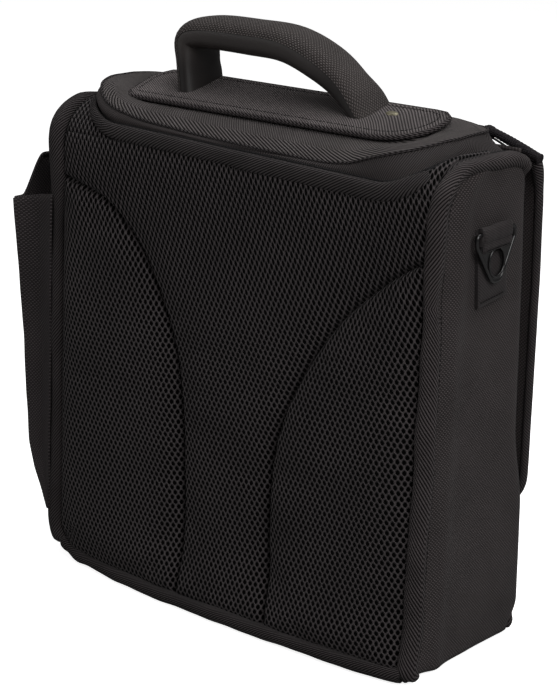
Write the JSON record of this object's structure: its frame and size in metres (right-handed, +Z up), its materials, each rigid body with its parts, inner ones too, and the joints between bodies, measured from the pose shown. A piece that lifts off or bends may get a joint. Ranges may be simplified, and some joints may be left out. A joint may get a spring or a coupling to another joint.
{
  "type": "miniature carry case",
  "caption": "Soft padded carry case for tabletop miniatures with a zipped lid, front flap, mesh back, side pocket, foam trays and a top handle.",
  "frame": {"origin": "centre of the flat underside of the base", "axes": "+X across the width to the right as seen from the mesh back, +Y from the mesh back to the flap, +Z up"},
  "size_m": [0.3845, 0.1389, 0.4092],
  "materials": {
    "air_mesh": "knitted spacer mesh",
    "ballistic_nylon": "woven",
    "twill_tape": "twill",
    "vinyl": "satin",
    "zip_tape": "woven",
    "zip_coil": "satin",
    "webbing": "woven",
    "cast_metal": "gloss",
    "foam": "matte",
    "board": "matte",
    "hook_loop": "matte",
    "rubber": "matte",
    "brass": "satin"
  },
  "bodies": {
    "case": {"back_panel": "air_mesh", "lumbar_pad_left": "air_mesh", "lumbar_pad_right": "air_mesh", "lumbar_pad_middle": "air_mesh", "side_panel_left": "ballistic_nylon", "side_panel_right": "ballistic_nylon", "front_panel": "ballistic_nylon", "bottom_panel": "ballistic_nylon", "side_binding_left": "twill_tape", "side_binding_right": "twill_tape", "bottom_binding_back": "twill_tape", "bottom_binding_front": "twill_tape", "opening_rim": "twill_tape", "zip_coil_body": "zip_coil", "lid_hinge_wall": "ballistic_nylon", "flap_yoke": "ballistic_nylon", "back_board": "board", "base_board": "board", "tray_base_rear": "foam", "tray_foam_rear": "foam", "tray_base_front": "foam", "tray_foam_front": "foam", "strap_tab_left": "webbing", "strap_tab_right": "webbing", "side_pocket": "ballistic_nylon", "pocket_hem": "twill_tape", "front_pocket": "ballistic_nylon", "front_pocket_gusset": "ballistic_nylon", "front_pocket_hem": "twill_tape", "loop_patch_left": "hook_loop", "loop_patch_right": "hook_loop"},
    "lid": {"lid_gusset": "zip_tape", "zip_coil_lid": "zip_coil", "lid_panel": "ballistic_nylon", "handle_platform": "ballistic_nylon", "handle_rivet": "brass", "handle_anchor_left": "webbing", "handle_anchor_right": "webbing"},
    "handle": {"handle_sleeve": "ballistic_nylon", "handle_lining": "vinyl"},
    "flap": {"flap_panel": "ballistic_nylon", "flap_binding": "twill_tape", "hook_patch_left": "hook_loop", "hook_patch_right": "hook_loop"},
    "ring_left": {"strap_ring_left": "cast_metal"},
    "ring_right": {"strap_ring_right": "cast_metal"},
    "zip_slider": {"zip_slider": "cast_metal"},
    "zip_pull": {"zip_pull": "rubber", "zip_pull_cord": "webbing"}
  },
  "joints": [
    {"name": "lid_hinge", "type": "hinge", "parent": "case", "child": "lid", "pos_m": [0, 0.036, 0.353], "axis": [-1, 0, 0], "range_deg": [0, 90]},
    {"name": "handle_tilt", "type": "hinge", "parent": "lid", "child": "handle", "pos_m": [0, -0.002, 0.35995], "axis": [1, 0, 0], "range_deg": [-10, 10], "stiffness_Nm_per_rad": 0.6},
    {"name": "flap_hinge", "type": "hinge", "parent": "case", "child": "flap", "pos_m": [0, 0.058, 0.333], "axis": [1, 0, 0], "range_deg": [0, 80]},
    {"name": "ring_swing_right", "type": "hinge", "parent": "case", "child": "ring_right", "pos_m": [0.1705, 0.0015, 0.294], "axis": [0, -1, 0], "range_deg": [0, 150]},
    {"name": "ring_swing_left", "type": "hinge", "parent": "case", "child": "ring_left", "pos_m": [-0.1705, 0.0015, 0.325], "axis": [0, 1, 0], "range_deg": [0, 150]},
    {"name": "zip_slide", "type": "slide", "parent": "case", "child": "zip_slider", "axis": [1, 0, 0], "range_m": [0, 0.018]},
    {"name": "zip_pull_swing", "type": "hinge", "parent": "zip_slider", "child": "zip_pull", "pos_m": [0.12, 0.0425, 0.35], "axis": [0, -1, 0], "range_deg": [0, 55]}
  ]
}
